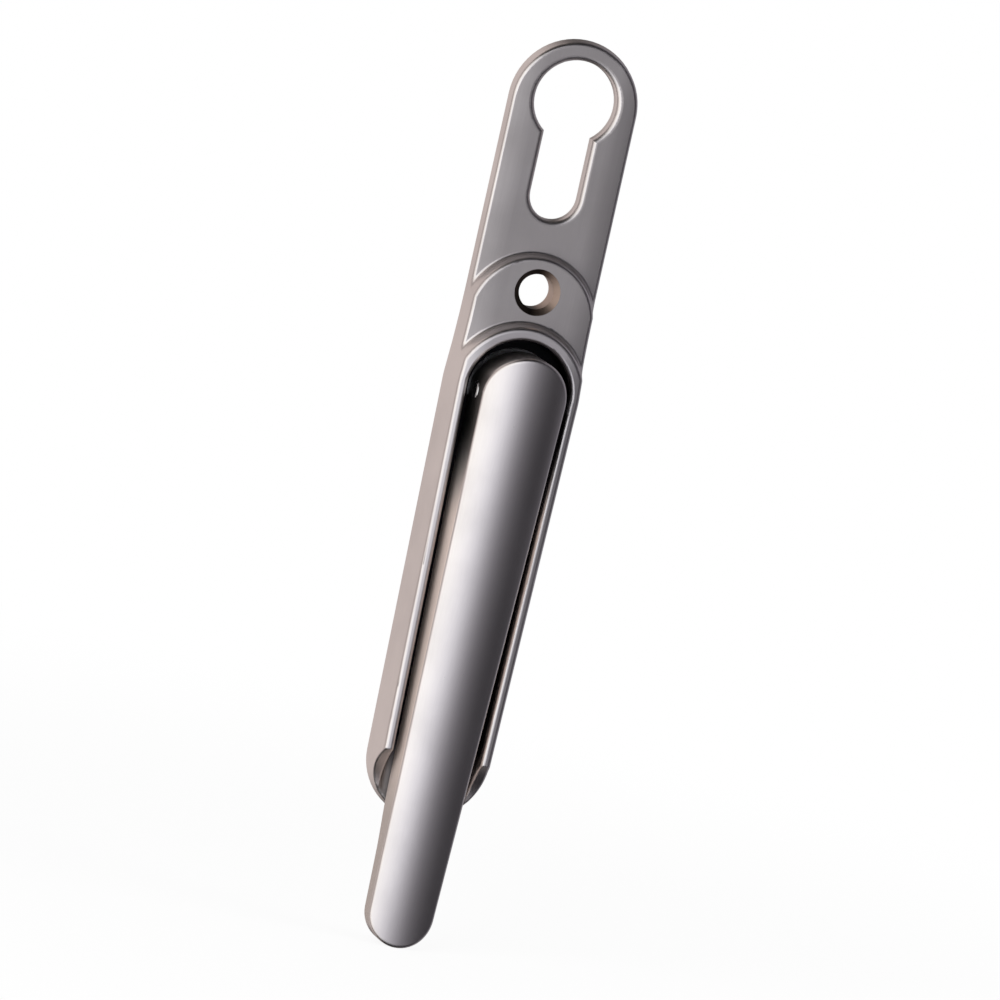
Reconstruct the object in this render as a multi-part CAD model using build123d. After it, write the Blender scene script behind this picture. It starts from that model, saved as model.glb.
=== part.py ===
from build123d import *
import math
import os

# Bifold door lever handle: a cast backplate with a lever that folds into it.
# The origin is the spindle axis on the door face. +Z is up and the front faces -Y.
# Heights are distances in front of the door face, and depths are distances behind it.
# All lengths are in millimetres and all angles in degrees.

# Backplate outline, on the door face
plate_width = 27.6
head_flare = 0.6
head_rise = 1.0
tail_drop = 78.7
tail_narrowing = 1.55
flare_radius = 300.0

# Backplate tiers and edges
plate_thickness = 3.0
crescent_height = 5.8
rim_height = 9.0
crescent_reach = 29.8
side_draft = 8.6
step_draft = 14.0
flat_width = 16.4
fall_radius = 25.0
edge_round = 1.0
foot_cove = 0.8

# Lock cylinder cut-out
cylinder_pitch = 62.0
cylinder_radius = 8.7
cylinder_slot_width = 10.4
cylinder_slot_reach = 25.1
cylinder_edge_round = 1.3
top_web = 4.2

# Fixing screws
screw_pitch_up = 22.0
screw_pitch_down = 52.0
screw_hole = 7.4
countersink = 9.8

# Recess and the scoop at its open tail
rim_wall = 3.4
rim_inner_round = 0.8
floor_thickness = 2.4
recess_cove = 1.0
scoop_start = 77.0
scoop_run = 12.0
scoop_edge_round = 0.5

# Lever
lever_side_gap = 1.95
lever_floor_gap = 0.4
lever_reach = 117.9
lever_tip_width = 14.0
crown_radius = 16.0
crown_height = 16.8
crown_fall = 3.54
lever_edge_round = 0.8
tip_lift = 1.2
tip_lift_start = 86.0
tip_lift_run = 14.0
fold_limit = 30.0

# Hinge
pin_height = 8.5
pin_diameter = 4.0
pin_proud = 0.3
pin_dome = 0.5
tongue_width = 6.6
tongue_depth = 8.0
hinge_washer_height = 0.9
hinge_washer_gauge = 0.5
hinge_washer_width = 8.0

# Hub and its bearing
journal_diameter = 15.0
hub_flange_diameter = 18.6
hub_flange_thickness = 1.2
hub_tail = 3.2
bush_wall = 1.0
bush_flange_thickness = 0.8
boss_wall = 3.0
boss_depth = 5.0
wave_washer_height = 0.8
wave_washer_gauge = 0.3
wave_washer_width = 2.2
wave_count = 3
ring_thickness = 1.0
ring_groove_depth = 0.5
ring_width = 2.0
ring_opening = 40.0
ring_eye = 1.5

# Spindle
spindle_square = 8.0
spindle_reach = 35.0
spindle_seat = 9.0
spindle_chamfer = 0.8
cross_pin_diameter = 2.5
cross_pin_depth = 2.6

# Rest buffer
buffer_drop = 70.0
buffer_head = 7.0
buffer_stem = 4.0

# Clearances
running_gap = 0.05
seat_gap = 0.02
flange_gap = 0.2
swing_gap = 0.5

# Sizes that follow from the ones above
plate_half = plate_width / 2
head_half = plate_half + head_flare
tail_half = head_half - tail_narrowing
taper = tail_narrowing / (head_rise + tail_drop)
top_centre = cylinder_pitch + cylinder_radius + top_web - plate_half
top_end = top_centre + plate_half
recess_half = head_half - rim_wall
lever_half = recess_half - lever_side_gap
lever_underside = floor_thickness + lever_floor_gap
heel_radius = pin_height - lever_underside
recess_up = head_rise + recess_half
scoop_drop = rim_height - floor_thickness
scoop_radius = (scoop_run**2 + scoop_drop**2) / (2 * scoop_drop)
rim_turn = math.degrees(math.atan2(rim_height + swing_gap - pin_height, recess_up))
lever_up = (recess_up - lever_floor_gap) * math.cos(math.radians(fold_limit + rim_turn))
tongue_half = tongue_width / 2
cheek_gap = tongue_half + hinge_washer_height + 2 * running_gap
bush_bore = journal_diameter / 2 + running_gap
bush_outer = bush_bore + bush_wall
counterbore = hub_flange_diameter / 2 + flange_gap
hub_flange_top = floor_thickness - running_gap
hub_flange_back = hub_flange_top - hub_flange_thickness
bush_flange_front = hub_flange_back - running_gap
bush_flange_back = bush_flange_front - bush_flange_thickness
boss_radius = bush_outer + boss_wall
washer_front = boss_depth + seat_gap
ring_front = washer_front + wave_washer_height + seat_gap
groove_radius = journal_diameter / 2 - ring_groove_depth
hub_rear = ring_front + ring_thickness + hub_tail
past_front = crown_height + 2 * crown_radius
past_sides = 2 * plate_width

# Side views are drawn with x as the height in front of the door and y as up
SIDE = Plane(origin=(0, 0, 0), x_dir=(0, -1, 0), z_dir=(-1, 0, 0))
# Cross sections are drawn with x across the plate and y as the height
ACROSS = Plane(origin=(0, 0, 0), x_dir=(1, 0, 0), z_dir=(0, 0, -1))


def facing(height):
    """Sketch plane parallel to the door at this height, with x across and y up."""
    return Plane.XZ.offset(height)


def round_bar(radius, low, high, up=0.0):
    """Cylinder square to the door between two heights, centred this far up the plate."""
    return extrude(facing(low) * Pos(0, up) * Circle(radius), amount=high - low)


def ring(outer, inner, low, high):
    """Plain ring round the spindle axis between two heights."""
    band = Circle(outer) - Circle(inner)
    return extrude(facing(low) * band, amount=high - low)


def hinge_bar(radius, reach):
    """Cylinder along the hinge axis that reaches this far to each side."""
    return extrude(SIDE * Pos(pin_height, 0) * Circle(radius), amount=reach, both=True)


def tapered_strip(top_radius, top_up, bottom_radius, bottom_up):
    """Outline round two discs and the straight sides that touch both."""
    top = Pos(0, top_up) * Circle(top_radius)
    bottom = Pos(0, bottom_up) * Circle(bottom_radius)
    return make_hull(top.edges() + bottom.edges())


def plate_outline(inset):
    """Plate outline moved inwards by this much: upper plate, flare, housing and tail."""
    half = plate_half - inset
    bend = flare_radius + inset
    lean = math.degrees(math.asin(taper))
    turn = math.degrees(math.acos((plate_half + flare_radius) / (head_half + flare_radius)))
    flare_up = head_rise + (head_half + flare_radius) * math.sin(math.radians(turn))
    side = Line((half, top_centre), (half, flare_up))
    flare = CenterArc((plate_half + flare_radius, flare_up), bend, 180, turn)
    head = CenterArc((0, head_rise), head_half - inset, turn, -(turn + lean))
    tail = CenterArc((0, -tail_drop), tail_half - inset, -lean, -(180 - 2 * lean))
    rail = Line(head @ 1, tail @ 0)
    right = [side, flare, head, rail]
    left = [mirror(edge, about=Plane.YZ) for edge in right]
    crest = CenterArc((0, top_centre), half, 0, 180)
    return make_face([crest, tail] + right + left)


def tier_bar(height):
    """Long bar behind one tier's front, which is level in the middle and falls to both sides."""
    level = flat_width / 2
    reach = head_half + 2 * edge_round
    turn = math.degrees(math.asin((reach - level) / fall_radius))
    right = CenterArc((level, height - fall_radius), fall_radius, 90, -turn)
    left = CenterArc((-level, height - fall_radius), fall_radius, 90, turn)
    front = Line(left @ 0, right @ 0)
    rest = Polyline(right @ 1, (reach, -plate_width), (-reach, -plate_width), left @ 1)
    return extrude(ACROSS * make_face([left, front, right, rest]), amount=2 * lever_reach, both=True)


def step_cutter(foot_radius, centre_up, low):
    """Space above one tier: a block less a cone, with a cove where the step's wall has its foot."""
    sink = 2 * foot_cove
    depth = rim_height + edge_round - low + sink
    start = facing(low - sink) * Pos(0, centre_up)
    block_up = top_centre + plate_width - centre_up
    space = extrude(start * Rectangle(past_sides, block_up, align=(Align.CENTER, Align.MIN)), amount=depth)
    start_radius = foot_radius + sink * math.tan(math.radians(step_draft))
    space -= extrude(start * Circle(start_radius), amount=depth, taper=step_draft)
    space -= tier_bar(low)
    wall = space.faces().filter_by(GeomType.CONE)[0]
    feet = [e for e in wall.edges() if -e.center().Y < low + seat_gap]
    return fillet(feet, foot_cove)


def front_edges(body):
    """Edges where the drafted side wall meets the tiers, and the crests of the two steps."""
    back = body.faces().sort_by(Axis.Y)[-1]
    sides = [f for f in body.faces() if f != back and f.bounding_box().max.Y > -seat_gap]
    side_edges = [e for f in sides for e in f.edges()]
    fronts = [f for f in body.faces() if f != back and f not in sides]
    walls = [f for f in fronts if f.geom_type == GeomType.CONE]
    tiers = [f for f in fronts if f.geom_type in (GeomType.PLANE, GeomType.CYLINDER)]
    tier_edges = [e for f in tiers for e in f.edges()]
    shoulders = [e for f in fronts for e in f.edges() if e in side_edges]
    crests = [e for f in walls for e in f.edges() if e in tier_edges]
    return shoulders + crests


def upright_rim(body, low, high, height):
    """Front edges, near this height, of upright walls with their middles between two levels."""
    walls = [f for f in body.faces() if abs(f.normal_at().Y) < seat_gap and low < f.center().Z < high]
    return [e for f in walls for e in f.edges() if -e.center().Y > height - edge_round]


def cylinder_outline():
    """Euro-profile hole: a disc above a slot with a round lower end."""
    slot_half = cylinder_slot_width / 2
    slot_low = cylinder_pitch - cylinder_slot_reach + slot_half
    slot = tapered_strip(slot_half, cylinder_pitch, slot_half, slot_low)
    return Pos(0, cylinder_pitch) * Circle(cylinder_radius) + slot


def screw_cutter(up, seat):
    """Clearance hole with a right-angled countersink that opens at this height."""
    sink = (countersink - screw_hole) / 2
    wide = facing(seat) * Pos(0, up) * Circle(countersink / 2)
    cone = loft([facing(seat - sink) * Pos(0, up) * Circle(screw_hole / 2), wide])
    return round_bar(screw_hole / 2, -seat, seat, up) + cone


def recess_cutter():
    """Space for the lever, open at the tail, with a cove round its floor."""
    beyond = lever_reach - tail_drop
    outline = tapered_strip(
        recess_half, head_rise, recess_half - tail_narrowing - taper * beyond, -tail_drop - beyond
    )
    space = extrude(facing(floor_thickness) * outline, amount=past_front)
    return fillet(space.faces().sort_by(Axis.Y)[-1].edges(), recess_cove)


def scoop_cutter():
    """Hollow ramp, from the rim's top down to the floor, that opens the tail."""
    low = -scoop_start - scoop_run
    bowl = Pos(floor_thickness + scoop_radius, low) * Circle(scoop_radius)
    clear = Pos(floor_thickness, low) * Rectangle(scoop_radius, past_sides, align=(Align.MIN, Align.MAX))
    return extrude(SIDE * (bowl + clear), amount=plate_width, both=True)


def scoop_edges(body):
    """Edges of the scoop's two ramps, apart from those along the floor's cove."""
    round_faces = body.faces().filter_by(GeomType.CYLINDER)
    ramps = [f for f in round_faces if abs(f.radius - scoop_radius) < seat_gap]
    return [e for f in ramps for e in f.edges() if -e.center().Y > floor_thickness + recess_cove / 2]


def make_backplate():
    """One casting: three tiers, cylinder and screw holes, lever recess and bearing boss."""
    inset = rim_height * math.tan(math.radians(side_draft))
    body = loft([facing(0) * plate_outline(0), facing(rim_height) * plate_outline(inset)], ruled=True)
    body &= tier_bar(rim_height)
    body -= step_cutter(head_half, head_rise, crescent_height)
    body -= step_cutter(plate_half, crescent_reach - plate_half, plate_thickness)
    body = fillet(front_edges(body), edge_round)
    body -= recess_cutter()
    body = fillet(upright_rim(body, -tail_drop, recess_up, rim_height), rim_inner_round)
    body -= scoop_cutter()
    body = fillet(scoop_edges(body), scoop_edge_round)
    body -= extrude(facing(-plate_thickness) * cylinder_outline(), amount=2 * plate_thickness)
    body = fillet(upright_rim(body, crescent_reach, top_end, plate_thickness), cylinder_edge_round)
    body -= screw_cutter(screw_pitch_up, crescent_height)
    body -= screw_cutter(-screw_pitch_down, floor_thickness)
    body -= round_bar(buffer_stem / 2 + seat_gap, -floor_thickness, rim_height, -buffer_drop)
    body += round_bar(boss_radius, -boss_depth, bush_flange_back)
    body -= round_bar(bush_outer + seat_gap, -2 * boss_depth, rim_height)
    body -= round_bar(counterbore, bush_flange_back, rim_height)
    return body


def make_bush():
    """Flanged sleeve that the hub turns in."""
    sleeve = ring(bush_outer, bush_bore, -boss_depth, bush_flange_back)
    flange = ring(hub_flange_diameter / 2, bush_bore, bush_flange_back + seat_gap, bush_flange_front)
    neck = ring(bush_outer, bush_bore, bush_flange_back, bush_flange_back + seat_gap)
    return sleeve + neck + flange


def make_buffer():
    """Soft button, pressed into the recess floor, that the folded lever lies on."""
    top = lever_underside - running_gap
    head = round_bar(buffer_head / 2, floor_thickness + seat_gap, top, -buffer_drop)
    return head + round_bar(buffer_stem / 2, running_gap, top, -buffer_drop)


def make_hub():
    """Turned journal and flange with a tongue for the hinge pin and a square socket behind."""
    journal = round_bar(journal_diameter / 2, -hub_rear, hub_flange_back)
    flange = round_bar(hub_flange_diameter / 2, hub_flange_back, hub_flange_top)
    root = Rectangle(pin_height - hub_flange_back, tongue_depth, align=(Align.MAX, Align.CENTER))
    profile = root + Circle(tongue_depth / 2)
    tongue = extrude(SIDE * Pos(pin_height, 0) * profile, amount=tongue_half, both=True)
    groove_gap = ring_thickness + 2 * seat_gap
    groove = ring(journal_diameter, groove_radius, -ring_front - groove_gap, -ring_front)
    side = spindle_square + 2 * seat_gap
    socket = extrude(facing(-hub_rear) * Rectangle(side, side), amount=spindle_seat + seat_gap)
    pin_hole = hinge_bar(pin_diameter / 2 + running_gap, past_sides)
    return journal + flange + tongue - groove - socket - pin_hole - cross_hole()


def cross_hole():
    """Hole across the hub and the spindle for their cross pin."""
    hole = SIDE * Pos(-cross_pin_depth, 0) * Circle(cross_pin_diameter / 2 + seat_gap)
    return extrude(hole, amount=past_sides, both=True)


def make_spindle():
    """Square bar seated in the hub, with a chamfered rear end."""
    length = spindle_reach - hub_rear + spindle_seat
    bar = extrude(facing(-spindle_reach) * Rectangle(spindle_square, spindle_square), amount=length)
    bar = chamfer(bar.faces().sort_by(Axis.Y)[-1].edges(), spindle_chamfer)
    return bar - cross_hole()


def make_spindle_pin():
    """Pin across the hub and spindle, kept in place by the bush round it."""
    pin = SIDE * Pos(-cross_pin_depth, 0) * Circle(cross_pin_diameter / 2)
    half = journal_diameter / 2 - cross_pin_diameter / 4
    return extrude(pin, amount=half, both=True)


def make_wave_washer():
    """Wavy spring ring between the boss and the retaining ring."""
    inner = journal_diameter / 2 + flange_gap
    swing = (wave_washer_height - wave_washer_gauge) / 2
    mid = -washer_front - wave_washer_height / 2

    def wave(radius, shift):
        """Closed curve round the axis that rises and falls once for each wave."""
        steps = 8 * wave_count
        turns = [2 * math.pi * i / steps for i in range(steps)]
        points = [
            (radius * math.cos(t), -(mid + shift + swing * math.cos(wave_count * t)), radius * math.sin(t))
            for t in turns
        ]
        return Spline(points, periodic=True)

    outer = inner + wave_washer_width
    lift = wave_washer_gauge / 2
    top = Face.make_surface_from_curves(wave(outer, lift), wave(inner, lift))
    base = Face.make_surface_from_curves(wave(outer, -lift), wave(inner, -lift))
    outer_wall = Face.make_surface_from_curves(wave(outer, lift), wave(outer, -lift))
    inner_wall = Face.make_surface_from_curves(wave(inner, lift), wave(inner, -lift))
    return Solid(Shell([top, base, outer_wall, inner_wall]))


def make_retaining_ring():
    """Open spring ring in the hub's groove, with an eye at each end."""
    inner = groove_radius + seat_gap
    outer = inner + ring_width
    mouth_half = outer * math.sin(math.radians(ring_opening / 2))
    mouth = Pos(0, -outer) * Rectangle(2 * mouth_half, 2 * outer - inner)
    eye_turn = ring_opening / 2 + math.degrees(ring_eye / outer)
    eye_radius = inner + ring_eye + ring_groove_depth
    eyes = [Rot(0, 0, turn) * Pos(0, -eye_radius) for turn in (-eye_turn, eye_turn)]
    band = Circle(outer)
    for place in eyes:
        band += place * Circle(ring_eye)
    band -= Circle(inner)
    band -= mouth
    for place in eyes:
        band -= place * Circle(ring_eye / 2)
    low = -ring_front - ring_thickness - seat_gap
    return extrude(facing(low) * band, amount=ring_thickness)


def lever_side_outline():
    """Side view of the lever: flat underside, lifted tip, and a heel cut back for the fold."""
    past_tip = -2 * lever_reach
    lifted = lever_underside + tip_lift
    heel = CenterArc((pin_height, 0), heel_radius, 180, -fold_limit)
    sole_end = (heel @ 1).X + recess_up * math.tan(math.radians(fold_limit))
    sole = Line(heel @ 1, (sole_end, (heel @ 1).Y + recess_up))
    flat = Line(heel @ 0, (lever_underside, -tip_lift_start))
    rise = Spline(flat @ 1, (lifted, -tip_lift_start - tip_lift_run), tangents=((0, -1), (0, -1)))
    tip = Line(rise @ 1, (lifted, past_tip))
    outer = Polyline(tip @ 1, (past_front, past_tip), (past_front, (sole @ 1).Y), sole @ 1)
    return make_face([heel, sole, flat, rise, tip, outer])


def tongue_pocket():
    """Slot under the lever's head that clears the hub's tongue from folded in to folded out."""
    radius = tongue_depth / 2 + swing_gap
    eye = Pos(pin_height, 0) * Circle(radius)
    folded_in = Circle(radius)
    swung = math.radians(fold_limit)
    folded_out = Pos(pin_height * (1 - math.cos(swung)), pin_height * math.sin(swung)) * Circle(radius)
    outline = make_hull(eye.edges() + folded_in.edges() + folded_out.edges())
    return extrude(SIDE * outline, amount=cheek_gap, both=True)


def make_lever():
    """One casting: crowned front, straight flanks, and a pocket for the hub's tongue."""
    tip_half = lever_tip_width / 2
    plan = tapered_strip(lever_half, lever_up - lever_half, tip_half, tip_half - lever_reach)
    slope = math.radians(crown_fall)
    crown_axis = Plane(
        origin=(0, -crown_height + crown_radius / math.cos(slope), 0),
        z_dir=(0, math.sin(slope), -math.cos(slope)),
    )
    bar = extrude(facing(0) * plan, amount=past_front)
    bar &= extrude(crown_axis * Circle(crown_radius), amount=2 * lever_reach, both=True)
    bar &= extrude(SIDE * lever_side_outline(), amount=past_sides, both=True)
    crown = bar.faces().filter_by(GeomType.CYLINDER).sort_by(SortBy.AREA)[-1]
    bar = fillet(crown.edges(), lever_edge_round)
    return bar - tongue_pocket() - hinge_bar(pin_diameter / 2 + seat_gap, past_sides)


def make_hinge_pin():
    """Pin through the lever's cheeks and the hub's tongue, with rounded ends."""
    pin = hinge_bar(pin_diameter / 2, lever_half + pin_proud)
    return fillet(pin.edges().filter_by(GeomType.CIRCLE), pin_dome)


def make_hinge_washer(side):
    """Conical spring washer between the tongue and one cheek; side is -1 for left and 1 for right."""
    inner = pin_diameter / 2 + running_gap
    outer = hinge_washer_width / 2
    low = tongue_half + running_gap
    rise = hinge_washer_height - hinge_washer_gauge
    section = Polygon(
        (inner, low),
        (outer, low + rise),
        (outer, low + hinge_washer_height),
        (inner, low + hinge_washer_gauge),
        align=None,
    )
    flat = revolve(Plane.XZ * section, axis=Axis.Z)
    return Pos(0, -pin_height, 0) * Rot(0, 90 * side, 0) * flat


pieces = {
    "backplate": make_backplate(),
    "hub_bush": make_bush(),
    "rest_buffer": make_buffer(),
    "hub": make_hub(),
    "spindle": make_spindle(),
    "spindle_pin": make_spindle_pin(),
    "wave_washer": make_wave_washer(),
    "retaining_ring": make_retaining_ring(),
    "lever": make_lever(),
    "hinge_pin": make_hinge_pin(),
    "left_hinge_washer": make_hinge_washer(-1),
    "right_hinge_washer": make_hinge_washer(1),
}

os.makedirs("parts", exist_ok=True)
for name, piece in pieces.items():
    export_step(piece, f"parts/{name}.step")
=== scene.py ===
# %% [markdown]
# # A folding lever handle for a bifold door
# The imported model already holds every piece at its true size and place, so this lesson
# adds no new solids. It gives each piece the finish of the real one, and then sets up the
# floor, the light and the camera. Everything is in metres, +Z is up the door, and the
# front of the handle faces -Y.

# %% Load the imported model
import math
import bpy
import numpy as np
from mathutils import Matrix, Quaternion, Vector


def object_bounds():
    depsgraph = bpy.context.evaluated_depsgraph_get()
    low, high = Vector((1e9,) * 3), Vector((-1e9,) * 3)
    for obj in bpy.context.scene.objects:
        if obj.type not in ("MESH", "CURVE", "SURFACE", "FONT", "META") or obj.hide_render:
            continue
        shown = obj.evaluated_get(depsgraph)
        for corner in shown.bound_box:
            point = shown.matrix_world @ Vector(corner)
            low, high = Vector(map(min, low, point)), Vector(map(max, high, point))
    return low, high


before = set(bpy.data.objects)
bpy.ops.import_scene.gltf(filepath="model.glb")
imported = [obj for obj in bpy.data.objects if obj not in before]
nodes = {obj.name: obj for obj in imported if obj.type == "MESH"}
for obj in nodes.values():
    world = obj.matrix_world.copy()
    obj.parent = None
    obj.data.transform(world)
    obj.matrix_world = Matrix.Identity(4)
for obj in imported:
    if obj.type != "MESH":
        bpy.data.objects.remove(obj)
cad_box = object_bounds()
print("pieces:", ", ".join(sorted(nodes)))

# %% [markdown]
# ## Small helpers for node trees
# A material is a graph of nodes. Placing nodes by hand takes several lines each, so two
# helpers keep the graphs readable: one places a node and sets its values, the other opens an
# empty group with named sockets. Groups hold the effects that several finishes share, and
# the shader itself stays in the material.

# %% Place a node, open a group


def place(tree, kind, links=None, **values):
    """Adds a node, sets its properties, then fills inputs given as {input: output or value}."""
    node = tree.nodes.new(kind)
    for name, value in values.items():
        setattr(node, name, value)
    for socket, source in (links or {}).items():
        if isinstance(source, bpy.types.NodeSocket):
            tree.links.new(source, node.inputs[socket])
        else:
            node.inputs[socket].default_value = source
    return node


def open_group(name, inputs, output):
    """Makes a shader group from {socket name: socket type} that puts out one value."""
    group = bpy.data.node_groups.new(name, "ShaderNodeTree")
    for socket, kind in inputs.items():
        group.interface.new_socket(socket, in_out="INPUT", socket_type=kind)
    group.interface.new_socket(output, in_out="OUTPUT", socket_type="NodeSocketFloat")
    return group, place(group, "NodeGroupInput").outputs, place(group, "NodeGroupOutput").inputs


# %% [markdown]
# ## Satin brushing, shared by the castings and the bars
# Satin plating is brushed before it is plated, so its surface is full of fine scratches
# that run one way. A picture of scratches would need UVs, and noise that is stretched along
# one axis needs none: the coordinates are multiplied by a large number across the scratches
# and by a small one along them. The group takes its direction as three densities, so each
# finish can turn it.

# %% The brushing group
scratch_octaves = 3.0
scratch_fineness = 0.6
brushing, brush_in, brush_out = open_group(
    "satin_brushing", {"Vector": "NodeSocketVector", "Density": "NodeSocketVector"}, "Scratches"
)
stretched = place(
    brushing,
    "ShaderNodeVectorMath",
    {0: brush_in["Vector"], 1: brush_in["Density"]},
    operation="MULTIPLY",
).outputs[0]
scratch_noise = place(
    brushing,
    "ShaderNodeTexNoise",
    {"Vector": stretched, "Scale": 1.0, "Detail": scratch_octaves, "Roughness": scratch_fineness},
)
brushing.links.new(scratch_noise.outputs[0], brush_out["Scratches"])
print("brushing group:", len(brushing.nodes), "nodes")

# %% [markdown]
# ## Handling marks, shared by every finish
# Hands and cleaning cloths leave soft, cloudy patches that are a little duller than the
# rest. They are a few millimetres to a few centimetres across, so one noise with several
# octaves covers them all, and a fade pushes it towards its two ends.

# %% The handling group
patch_octaves = 4.0
patch_ends = (0.35, 0.7)


def fade(tree, value, start, end):
    """Share that runs smoothly from zero to one as the value goes from start to end."""
    links = {"Value": value, "From Min": start, "From Max": end}
    return place(tree, "ShaderNodeMapRange", links, interpolation_type="SMOOTHSTEP").outputs[0]


handling, hand_in, hand_out = open_group(
    "handling_marks", {"Vector": "NodeSocketVector", "Scale": "NodeSocketFloat"}, "Dull"
)
patches = place(
    handling,
    "ShaderNodeTexNoise",
    {"Vector": hand_in["Vector"], "Scale": hand_in["Scale"], "Detail": patch_octaves},
)
handling.links.new(fade(handling, patches.outputs[0], *patch_ends), hand_out["Dull"])
print("handling group:", len(handling.nodes), "nodes")

# %% [markdown]
# ## The recipe that the metals share
# Each metal is the same short graph with other numbers: scratches and dull patches mix two
# close colours, move the roughness between two values, and raise a very shallow bump. The
# arithmetic, the ranges and the blends are one node each, so each gets a small helper, and
# a finish then reads as a list of masks.

# %% Arithmetic, ranges and blends


def math_node(tree, operation, first, second=0.0):
    """One arithmetic node; either side is a socket or a number."""
    return place(tree, "ShaderNodeMath", {0: first, 1: second}, operation=operation).outputs[0]


def spread(tree, share, low, high):
    """Value that runs evenly from low to high as the share runs from zero to one."""
    links = {"Value": share, "To Min": low, "To Max": high}
    return place(tree, "ShaderNodeMapRange", links).outputs[0]


def blend_colours(tree, share, first, second, blend_type="MIX"):
    """Colour that goes from the first to the second, or to their product, with the share."""
    mix = place(tree, "ShaderNodeMix", {0: share}, data_type="RGBA", blend_type=blend_type)
    # The colour sockets of this node are its inputs 6 and 7 and its output 2.
    for socket, colour in ((mix.inputs[6], first), (mix.inputs[7], second)):
        if isinstance(colour, bpy.types.NodeSocket):
            tree.links.new(colour, socket)
        else:
            socket.default_value = (*colour, 1.0)
    return mix.outputs[2]


# %% The metal recipe
scratch_depth = 0.00002


def start_material(name):
    """New material with its shader and the point's place on the piece, in metres."""
    material = bpy.data.materials.new(name)
    material.use_nodes = True
    tree = material.node_tree
    where = place(tree, "ShaderNodeTexCoord").outputs["Object"]
    return material, tree, tree.nodes["Principled BSDF"], where


def dress(tree, shader, colour, roughness, grain, bump, depth):
    """Feeds the shader its colour and roughness, and its normal from a shallow bump."""
    relief = place(tree, "ShaderNodeBump", {"Strength": bump, "Distance": depth, "Height": grain})
    tree.links.new(colour, shader.inputs["Base Color"])
    tree.links.new(roughness, shader.inputs["Roughness"])
    tree.links.new(relief.outputs[0], shader.inputs["Normal"])


def metal(name, pale, deep, smooth, rough, density, patch_scale, bump):
    """Brushed metal: colour and roughness run between two values with scratches and patches."""
    material, tree, shader, where = start_material(name)
    shader.inputs["Metallic"].default_value = 1.0
    lines = {"Vector": where, "Density": density}
    scratches = place(tree, "ShaderNodeGroup", lines, node_tree=brushing).outputs[0]
    clouds = {"Vector": where, "Scale": patch_scale}
    patch = place(tree, "ShaderNodeGroup", clouds, node_tree=handling).outputs[0]
    share = math_node(tree, "MULTIPLY", math_node(tree, "ADD", scratches, patch), 0.5)
    colour = blend_colours(tree, share, pale, deep)
    dress(tree, shader, colour, spread(tree, share, smooth, rough), scratches, bump, scratch_depth)
    return material


# %% [markdown]
# ## Changing a finish in places, and putting it on
# A darker place, or one with painted shade or a painted highlight, is the same material with
# another colour and roughness. The helper below takes what feeds the shader now and blends
# it with the new values by a mask, so several changes can follow each other.

# %% Change a finish, put it on a piece


def change_where(tree, shader, share, colour, roughness):
    """Moves the shader's colour and roughness to new ones where the share is one."""
    plain_colour = shader.inputs["Base Color"].links[0].from_socket
    plain_roughness = shader.inputs["Roughness"].links[0].from_socket
    mixed = {0: share, 2: plain_roughness, 3: roughness}
    changed = place(tree, "ShaderNodeMix", mixed, data_type="FLOAT").outputs[0]
    tree.links.new(
        blend_colours(tree, share, plain_colour, colour), shader.inputs["Base Color"]
    )
    tree.links.new(changed, shader.inputs["Roughness"])


def finish_nodes(material, *names):
    """Puts one material into every slot of the named pieces."""
    for name in names:
        slots = nodes[name].data.materials
        slots.clear()
        slots.append(material)
    print(material.name, "on", ", ".join(names))


# %% [markdown]
# ## Satin nickel on the lever
# The backplate and the lever are zinc castings with a warm, slightly pink satin plate. The
# brushing runs along the handle, as it does where a long part is drawn past a belt. The
# belt only reaches the lever's crowned front, so the flanks, which face sideways, keep the
# matt grain of the casting under the plate and scatter light instead of mirroring it. The
# direction that a face points in tells them apart. The flanks are made darker towards the
# free end, and beside the hinge they get a near-black painted shade, the shade of the gap.

# %% Nickel for both castings
nickel_finish = {
    "pale": (0.66, 0.62, 0.61),
    "deep": (0.56, 0.525, 0.52),
    "smooth": 0.26,
    "rough": 0.36,
    "density": (4000, 4000, 60),
    "patch_scale": 60.0,
    "bump": 0.06,
}
lever_nickel = metal("lever_nickel", **nickel_finish)
lever_tree = lever_nickel.node_tree
lever_shader = lever_tree.nodes["Principled BSDF"]
print("nickel for the lever:", len(lever_tree.nodes), "nodes")

# %% Matt flanks, darker towards the free end, with painted shade beside the hinge
flank_facing = (0.8, 0.97)
flank_colour = (0.74, 0.62, 0.56)
flank_roughness = 0.75
flank_metal = 0.3
# Towards the free end the flanks are made darker.
tip_fade = (-0.092, -0.074)
tip_colour = (0.44, 0.375, 0.345)
# Beside the hinge the flanks get a near-black painted shade, for the shade in the gap there.
hinge_shade_fade = (-0.006, -0.028)
hinge_shade_colour = (0.09, 0.084, 0.08)
hinge_shade_roughness = 0.5


def axes_of(tree, output):
    """X, Y and Z of what the piece's coordinates put out, its place or its normal."""
    source = tree.nodes["Texture Coordinate"].outputs[output]
    return place(tree, "ShaderNodeSeparateXYZ", {0: source}).outputs


sideways = math_node(lever_tree, "ABSOLUTE", axes_of(lever_tree, "Normal")["X"])
flank = fade(lever_tree, sideways, *flank_facing)
lever_up = axes_of(lever_tree, "Object")["Z"]
past_hinge_shade = fade(lever_tree, lever_up, *hinge_shade_fade)
off_tip = fade(lever_tree, lever_up, *tip_fade)
grain = math_node(lever_tree, "MULTIPLY", flank, past_hinge_shade)
grain_colour = blend_colours(lever_tree, off_tip, tip_colour, flank_colour)
change_where(lever_tree, lever_shader, grain, grain_colour, flank_roughness)
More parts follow.
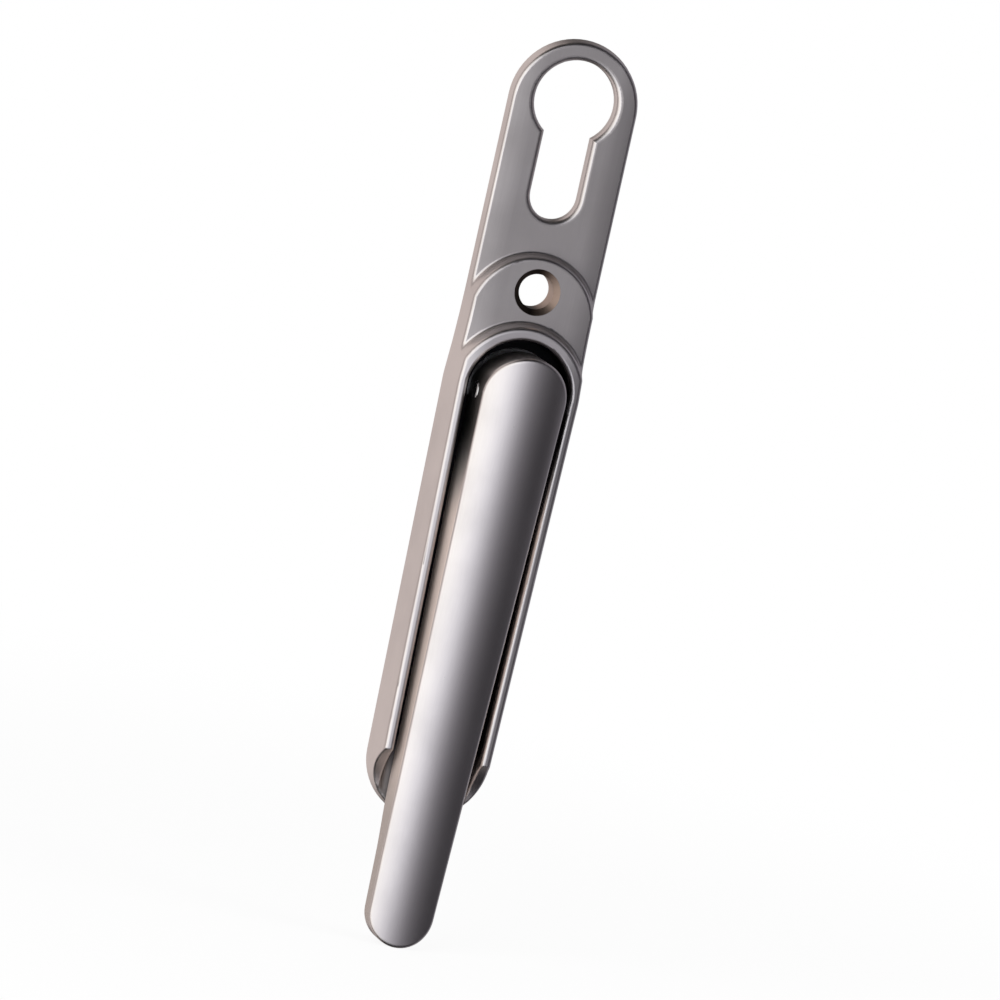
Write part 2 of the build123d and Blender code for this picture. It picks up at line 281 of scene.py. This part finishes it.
# Painted shade: the flanks beside the hinge are painted near-black.
near_hinge = math_node(lever_tree, "SUBTRACT", 1.0, past_hinge_shade)
hinge_shade = math_node(lever_tree, "MULTIPLY", flank, near_hinge)
change_where(lever_tree, lever_shader, hinge_shade, hinge_shade_colour, hinge_shade_roughness)
lever_tree.links.new(
    spread(lever_tree, grain, 1.0, flank_metal), lever_shader.inputs["Metallic"]
)
finish_nodes(lever_nickel, "lever")

# %% [markdown]
# ## Dull tiers and a painted highlight on the rim of the backplate
# The fronts of the plate's tiers have an even tone, as blasted metal has, so they are made
# duller and a shade deeper than the rounded edges. The rim's top is painted paler, a
# painted highlight, and made smoother. A face's direction gives the first mask, and its
# height over the door the second.

# %% Blasted fronts and the painted highlight on the rim
front_facing = (-0.93, -0.98)
blasted_shade = 0.86
blasted_dull = 0.28
# The rim's top gets a paler colour, a painted highlight.
rim_top_heights = (0.0080, 0.0088)
rim_highlight_share = 0.75
rim_highlight_colour = (0.77, 0.73, 0.715)
rim_top_roughness = 0.26
plate_nickel = metal("plate_nickel", **nickel_finish)
plate_tree = plate_nickel.node_tree
plate_shader = plate_tree.nodes["Principled BSDF"]
plate_normal = axes_of(plate_tree, "Normal")
plate_place = axes_of(plate_tree, "Object")
plate_height = math_node(plate_tree, "MULTIPLY", plate_place["Y"], -1.0)
blasted = fade(plate_tree, plate_normal["Y"], *front_facing)
brushed_colour = plate_shader.inputs["Base Color"].links[0].from_socket
brushed_dull = plate_shader.inputs["Roughness"].links[0].from_socket
front_colour = blend_colours(
    plate_tree, blasted, brushed_colour, (blasted_shade,) * 3, blend_type="MULTIPLY"
)
added_dull = math_node(plate_tree, "MULTIPLY", blasted, blasted_dull)
front_dull = math_node(plate_tree, "ADD", brushed_dull, added_dull)
plate_tree.links.new(front_colour, plate_shader.inputs["Base Color"])
plate_tree.links.new(front_dull, plate_shader.inputs["Roughness"])
# Painted highlight on the rim's top.
high_up = fade(plate_tree, plate_height, *rim_top_heights)
painted_rim_highlight = math_node(plate_tree, "MULTIPLY", high_up, rim_highlight_share)
rim_top_highlight = math_node(plate_tree, "MULTIPLY", painted_rim_highlight, blasted)
change_where(plate_tree, plate_shader, rim_top_highlight, rim_highlight_colour, rim_top_roughness)
print("nickel for the plate:", len(plate_tree.nodes), "nodes")

# %% [markdown]
# ## Painted shade in the recess of the backplate
# The recess is deep and narrow, so its walls and floor lie in shade, and that shade is
# painted on them as a near-black, dull colour. A piece of its own would need a new surface,
# so the same nickel is used, and a mask made from the point's place on the plate turns it
# dark: the point must lie inside the recess outline, which is a half disc on a slowly
# narrowing strip, and below the rounded lip. At the open tail only the floor gets the
# painted shade, and less of it.

# %% Painted shade inside the recess
recess_centre = 0.001
recess_half = 0.0110
recess_taper = 0.0195
recess_margin = 0.0002
recess_floor = 0.0020
lip_height = 0.0080
tail_height = 0.0045
tail_start = -0.075
tail_run = 0.008
tail_shade_share = 0.5
shade_fade = 0.0015
# Near-black painted shade for the recess walls and floor.
recess_shade_colour = (0.012, 0.012, 0.013)
recess_shade_roughness = 0.6


def away_from(tree, across, along):
    """Distance from an axis: the root of the sum of both squares."""
    squares = [math_node(tree, "POWER", side, 2.0) for side in (across, along)]
    return math_node(tree, "SQRT", math_node(tree, "ADD", *squares))


def recess_shade_mask(tree, axes, height):
    """One where painted shade goes: on the recess walls and floor, by outline distance and height.
    """
    above = math_node(tree, "SUBTRACT", axes["Z"], recess_centre)
    away = away_from(tree, axes["X"], math_node(tree, "MAXIMUM", above, 0.0))
    narrowing = math_node(tree, "MULTIPLY", math_node(tree, "MINIMUM", above, 0.0), recess_taper)
    edge = math_node(tree, "ADD", narrowing, recess_half)
    inside = math_node(tree, "LESS_THAN", math_node(tree, "SUBTRACT", away, edge), recess_margin)
    tail = {"Value": axes["Z"], "From Min": tail_start - tail_run, "From Max": tail_start}
    before_tail = place(tree, "ShaderNodeMapRange", tail).outputs[0]
    limit = spread(tree, before_tail, tail_height, lip_height)
    deep = fade(tree, math_node(tree, "SUBTRACT", limit, height), 0.0, shade_fade)
    front = math_node(tree, "GREATER_THAN", height, recess_floor)
    shaded = math_node(tree, "MULTIPLY", math_node(tree, "MULTIPLY", inside, deep), front)
    return math_node(tree, "MULTIPLY", shaded, spread(tree, before_tail, tail_shade_share, 1.0))


# Painted shade in the recess.
recess_shade = recess_shade_mask(plate_tree, plate_place, plate_height)
change_where(plate_tree, plate_shader, recess_shade, recess_shade_colour, recess_shade_roughness)
print("recess dark below", lip_height, "m")

# %% [markdown]
# ## The drilled screw hole
# The right wall of the countersunk hole is painted brown, a painted reflection, and the rest
# of it is painted dark, a painted shade. The mask is the distance from the hole's axis, and
# it stops at the plate's back. A face's direction tells the right wall, which faces left,
# from the others.

# %% Painted reflection and shade inside the screw hole
hole_up = 0.022
hole_reach = 0.0050
hole_fade = 0.0002
# Painted shade on the hole's other walls, and a painted reflection on its right wall.
lit_facing = (0.1, -0.5)
hole_shade_colour = (0.035, 0.032, 0.03)
hole_reflection_colour = (0.42, 0.325, 0.275)
hole_roughness = 0.4
hole_rise = math_node(plate_tree, "SUBTRACT", plate_place["Z"], hole_up)
hole_away = away_from(plate_tree, plate_place["X"], hole_rise)
in_hole = fade(plate_tree, hole_away, hole_reach, hole_reach - hole_fade)
off_back = math_node(plate_tree, "GREATER_THAN", plate_height, hole_fade)
hole_mask = math_node(plate_tree, "MULTIPLY", in_hole, off_back)
# The wall that faces left gets the painted reflection, the others the painted shade.
lit_side = fade(plate_tree, plate_normal["X"], *lit_facing)
hole_colour = blend_colours(plate_tree, lit_side, hole_shade_colour, hole_reflection_colour)
change_where(plate_tree, plate_shader, hole_mask, hole_colour, hole_roughness)
finish_nodes(plate_nickel, "backplate")

# %% [markdown]
# ## Steel for the pieces that turn, drive and spring
# The hub and the pins are turned, so their scratches run round them. The spindle is drawn
# bar with a zinc plate, and its lines run along it. The spring washers and the ring are
# dark from their oil bath and have an even grain. All three are the metal recipe again.

# %% Turned steel
turned_steel = metal(
    "turned_steel",
    pale=(0.60, 0.60, 0.61),
    deep=(0.46, 0.46, 0.47),
    smooth=0.2,
    rough=0.38,
    density=(150, 6000, 150),
    patch_scale=120.0,
    bump=0.3,
)
finish_nodes(turned_steel, "hub", "spindle_pin", "hinge_pin")

# %% Zinc plate on the drawn bar
zinc_plate = metal(
    "zinc_plate",
    pale=(0.66, 0.66, 0.63),
    deep=(0.5, 0.5, 0.47),
    smooth=0.25,
    rough=0.45,
    density=(4000, 120, 4000),
    patch_scale=200.0,
    bump=0.3,
)
finish_nodes(zinc_plate, "spindle")

# %% Dark spring steel
spring_black = metal(
    "spring_black",
    pale=(0.22, 0.22, 0.23),
    deep=(0.1, 0.1, 0.105),
    smooth=0.4,
    rough=0.62,
    density=(900, 900, 900),
    patch_scale=300.0,
    bump=0.4,
)
finish_nodes(
    spring_black, "wave_washer", "retaining_ring", "left_hinge_washer", "right_hinge_washer"
)

# %% [markdown]
# ## Plastic bush and rubber buffer
# Neither is metal, so both get a plain shader with a fine grain. The grain is the same
# noise group as the scratches, with equal densities, so it has no direction.

# %% The moulded recipe
moulded_patches = 250.0
grain_depth = 0.00003


def moulded(name, pale, deep, smooth, rough, density, bump):
    """Moulded surface: two close colours in soft patches, with an even grain as its bump."""
    material, tree, shader, where = start_material(name)
    specks = {"Vector": where, "Density": (density, density, density)}
    speckle = place(tree, "ShaderNodeGroup", specks, node_tree=brushing).outputs[0]
    clouds = {"Vector": where, "Scale": moulded_patches}
    patch = place(tree, "ShaderNodeGroup", clouds, node_tree=handling).outputs[0]
    colour = blend_colours(tree, patch, pale, deep)
    dress(tree, shader, colour, spread(tree, speckle, smooth, rough), speckle, bump, grain_depth)
    return material


# %% Acetal and rubber
acetal = moulded(
    "acetal",
    pale=(0.8, 0.78, 0.73),
    deep=(0.72, 0.7, 0.64),
    smooth=0.3,
    rough=0.5,
    density=2500.0,
    bump=0.2,
)
finish_nodes(acetal, "hub_bush")
buffer_rubber = moulded(
    "buffer_rubber",
    pale=(0.035, 0.035, 0.035),
    deep=(0.02, 0.02, 0.02),
    smooth=0.6,
    rough=0.85,
    density=4000.0,
    bump=0.5,
)
finish_nodes(buffer_rubber, "rest_buffer")

# %% [markdown]
# ## A pale floor
# The handle stands on a pale disc under its lowest point. A disc is a grid of two
# parameters, the turn and the reach, so numpy gives all its points at once. The camera sees
# the floor as nearly white, and the small share of plain paint that is left near the
# handle keeps its soft shadow.

# %% The floor's mesh


def mesh_piece(name, points, faces):
    """Mesh object at the origin from an array of points and an array of faces."""
    mesh = bpy.data.meshes.new(name)
    mesh.from_pydata(points.tolist(), [], faces.tolist())
    piece = bpy.data.objects.new(name, mesh)
    bpy.context.scene.collection.objects.link(piece)
    return piece


def grid_faces(rows, columns):
    """Quads of a grid of rows times columns points, numbered row by row."""
    first = np.arange(rows - 1)[:, None] * columns + np.arange(columns - 1)[None, :]
    first = first.ravel()
    return np.stack([first, first + 1, first + columns + 1, first + columns], axis=1)


floor_radius = 0.45
floor_middle = 0.0005
floor_height = cad_box[0].z
turns = np.linspace(0, 2 * np.pi, 97)
reaches = np.linspace(floor_middle, floor_radius, 12)
turn, reach = np.meshgrid(turns, reaches, indexing="ij")
floor_points = np.stack(
    [reach * np.cos(turn), reach * np.sin(turn), np.full_like(reach, floor_height)], axis=-1
).reshape(-1, 3)
floor = mesh_piece("floor", floor_points, grid_faces(*reach.shape)[:, ::-1])
print("floor at", round(floor_height, 4))

# %% The floor's paint
paint_grey = (0.86, 0.86, 0.86, 1.0)
paint_roughness = 0.9
white_reach = (0.14, 0.4)
white_near = 0.9


def seen_directly(tree):
    """One where a ray comes from the camera, a reflection or clear glass, else zero."""
    path = place(tree, "ShaderNodeLightPath").outputs
    straight = math_node(tree, "MAXIMUM", path["Is Camera Ray"], path["Is Glossy Ray"])
    return math_node(tree, "MAXIMUM", straight, path["Is Transmission Ray"])


floor_paint, floor_tree, floor_shader, floor_place = start_material("floor_paint")
floor_shader.inputs["Base Color"].default_value = paint_grey
floor_shader.inputs["Roughness"].default_value = paint_roughness
floor_glow = place(floor_tree, "ShaderNodeEmission", {"Strength": 1.0})
middle = place(floor_tree, "ShaderNodeVectorMath", {0: floor_place}, operation="LENGTH")
far_off = fade(floor_tree, middle.outputs["Value"], *white_reach)
white_share = spread(floor_tree, far_off, white_near, 1.0)
glow_share = math_node(floor_tree, "MULTIPLY", seen_directly(floor_tree), white_share)
floor_mix = place(
    floor_tree,
    "ShaderNodeMixShader",
    {0: glow_share, 1: floor_shader.outputs[0], 2: floor_glow.outputs[0]},
)
floor_tree.links.new(
    floor_mix.outputs[0], floor_tree.nodes["Material Output"].inputs["Surface"]
)
floor.data.materials.append(floor_paint)
floor.visible_glossy = False
print("floor paint:", len(floor_tree.nodes), "nodes")

# %% [markdown]
# ## A white room
# The photographed background is plain white. A brighter lamp would wash out the handle, so
# the room is white only to rays that see it directly, and lights the handle at a plain level.

# %% The world
room_grey = (0.9, 0.9, 0.9, 1.0)
room_strength = 0.6
room_white = (1.0, 1.0, 1.0, 1.0)
world = bpy.data.worlds.new("white_room")
world.use_nodes = True
bpy.context.scene.world = world
room_tree = world.node_tree
room_light = room_tree.nodes["Background"]
room_light.inputs["Color"].default_value = room_grey
room_light.inputs["Strength"].default_value = room_strength
room_back = place(room_tree, "ShaderNodeBackground", {"Color": room_white, "Strength": 1.0})
room_mix = place(
    room_tree,
    "ShaderNodeMixShader",
    {0: seen_directly(room_tree), 1: room_light.outputs[0], 2: room_back.outputs[0]},
)
room_tree.links.new(room_mix.outputs[0], room_tree.nodes["World Output"].inputs["Surface"])
print("room:", len(room_tree.nodes), "nodes")

# %% [markdown]
# ## Graded cards round the handle
# Metal shows what stands round it. A photographer hangs white and dark cards so that each
# face has something to reflect: a tall bright card on the left that trails off past the
# front, dimmer ones at the left rear and the right rear, and dark between and above. Many
# flat cards would show their edges in the metal, so here they are one dome whose brightness
# is a smooth function of direction. Angles are degrees to the left of the front and
# degrees up, and each window is a centre, a half width and a soft margin.

# %% The light of the cards
dark_level = 0.02
bright_level = 1.5
bright_edge, bright_blend = 4, 11
bright_end, bright_fall = 97, 45
trailing_level = 0.18
trailing_start, trailing_length = 10, 34
trailing_window = (-40, 70, 40)
behind_level = 0.74
behind_window = (134, 20, 40)
right_level = 0.3
right_window = (-122, 24, 35)
front_band = (-5, 24, 32)
rear_band = (0, 40, 40)
tint_angles = (-180, -160, -120, -40, 10, 45, 80)
tint_red = (1.08, 1.06, 1.02, 1.02, 0.99, 1.01, 1.08)
tint_green = (0.97, 0.98, 0.99, 0.99, 1.01, 1.03, 0.97)
tint_blue = (0.93, 0.98, 1.10, 1.12, 1.09, 1.00, 0.93)


def soft_step(share):
    """Runs smoothly from zero to one as the share does, and stays level outside."""
    share = np.clip(share, 0, 1)
    return share * share * (3 - 2 * share)


def window(angle, centre, half, soft):
    """One inside centre plus or minus half, falling smoothly to zero over the soft margin."""
    away = np.abs((angle - centre + 180) % 360 - 180)
    return soft_step((half + soft - away) / soft)


def card_light(left, up):
    """Colour of the cards by direction: a logistic edge, an exponential trail and two windows."""
    bright = bright_level / (1 + np.exp(-(left - bright_edge) / bright_blend))
    bright = bright * soft_step((bright_end - left) / bright_fall)
    trailing = trailing_level * np.exp(-np.maximum(trailing_start - left, 0) / trailing_length)
    trailing = trailing * window(left, *trailing_window)
    front = (bright + trailing) * window(up, *front_band)
    behind = behind_level * window(left, *behind_window)
    right = right_level * window(left, *right_window)
    rear = (behind + right) * window(up, *rear_band)
    channels = (tint_red, tint_green, tint_blue)
    tint = np.stack([np.interp(left, tint_angles, channel) for channel in channels], axis=-1)
    return (dark_level + front + rear)[..., None] * tint


print("light straight ahead:", card_light(np.zeros(1), np.zeros(1)).round(3).tolist())

# %% [markdown]
# ## The dome that carries the cards
# The dome is a sphere without its poles, again a grid of two parameters. Each point stores
# its light in an attribute that the material reads. Only reflections see the dome, so it
# neither hides the handle nor casts a shadow.

# %% The dome of cards
dome_radius = 1.2
dome_top = 88
handle_centre = (cad_box[0] + cad_box[1]) / 2
left, up = np.meshgrid(
    np.linspace(-180, 180, 145), np.linspace(-dome_top, dome_top, 89), indexing="ij"
)
level = np.cos(np.radians(up))
outward = np.stack(
    [
        -np.sin(np.radians(left)) * level,
        -np.cos(np.radians(left)) * level,
        np.sin(np.radians(up)),
    ],
    axis=-1,
)
dome_points = dome_radius * outward + np.array(handle_centre)
dome = mesh_piece("card_dome", dome_points.reshape(-1, 3), grid_faces(*left.shape))
glow = dome.data.attributes.new("card_light", "FLOAT_COLOR", "POINT")
shades = np.concatenate([card_light(left, up), np.ones(left.shape + (1,))], axis=-1)
glow.data.foreach_set("color", shades.astype(np.float32).ravel())
print("dome of", len(dome.data.polygons), "faces")

# %% The paint of the cards
card_paint = bpy.data.materials.new("card_paint")
card_paint.use_nodes = True
card_tree = card_paint.node_tree
card_tree.nodes.remove(card_tree.nodes["Principled BSDF"])
stored = place(card_tree, "ShaderNodeAttribute", attribute_name="card_light").outputs["Color"]
card_glow = place(card_tree, "ShaderNodeEmission", {"Color": stored, "Strength": 1.0})
card_tree.links.new(card_glow.outputs[0], card_tree.nodes["Material Output"].inputs["Surface"])
dome.data.materials.append(card_paint)
dome.visible_camera = False
dome.visible_diffuse = False
dome.visible_transmission = False
dome.visible_shadow = False
print("card paint:", len(card_tree.nodes), "nodes")

# %% [markdown]
# ## Two soft lamps
# The cards only act on reflections. The matt flanks, the plastic pieces and the floor need
# light that falls on them, so a large lamp stands at each side. Their own shapes are kept
# out of the reflections, where the cards already say what the metal shows.

# %% Lamps
lamp_size = 0.6
lamps = {
    "left_lamp": {"offset": (-0.55, -0.6, 0.45), "energy": 5.0},
    "right_lamp": {"offset": (0.75, -0.35, 0.2), "energy": 5.5},
}


def soft_lamp(name, offset, energy):
    """Square area lamp at an offset from the handle's middle, turned to face it."""
    data = bpy.data.lights.new(name, "AREA")
    data.shape = "SQUARE"
    data.size = lamp_size
    data.energy = energy
    lamp = bpy.data.objects.new(name, data)
    lamp.location = handle_centre + Vector(offset)
    lamp.rotation_mode = "QUATERNION"
    lamp.rotation_quaternion = (handle_centre - lamp.location).to_track_quat("-Z", "Y")
    lamp.visible_glossy = False
    bpy.context.scene.collection.objects.link(lamp)


for lamp_name, lamp_values in lamps.items():
    soft_lamp(lamp_name, **lamp_values)
print("lamps:", ", ".join(lamps))

# %% [markdown]
# ## The camera
# The camera stands to the left of the handle and a little above it. It is far enough off,
# with a long lens, that the view is nearly flat, and it leans so that the handle slants
# across the picture. Its distance follows from the width that the picture has to take in.

# %% Camera
from_left = math.radians(15.0)
from_above = math.radians(7.0)
picture_lean = math.radians(12.6)
picture_width = 0.2078
picture_centre = Vector((0.0034, 0.0, -0.0227))
long_lens = 500.0
camera_data = bpy.data.cameras.new("camera")
camera_data.lens = long_lens
camera = bpy.data.objects.new("camera", camera_data)
towards = Vector(
    (
        -math.sin(from_left) * math.cos(from_above),
        -math.cos(from_left) * math.cos(from_above),
        math.sin(from_above),
    )
)
distance = picture_width * camera_data.lens / camera_data.sensor_width
camera_data.clip_end = 2 * distance
camera.location = picture_centre + towards * distance
camera.rotation_mode = "QUATERNION"
upright = (-towards).to_track_quat("-Z", "Y")
camera.rotation_quaternion = upright @ Quaternion((0, 0, 1), picture_lean)
bpy.context.scene.collection.objects.link(camera)
bpy.context.scene.camera = camera
bpy.context.scene.view_settings.view_transform = "Standard"
print("camera", round(distance, 3), "m away")
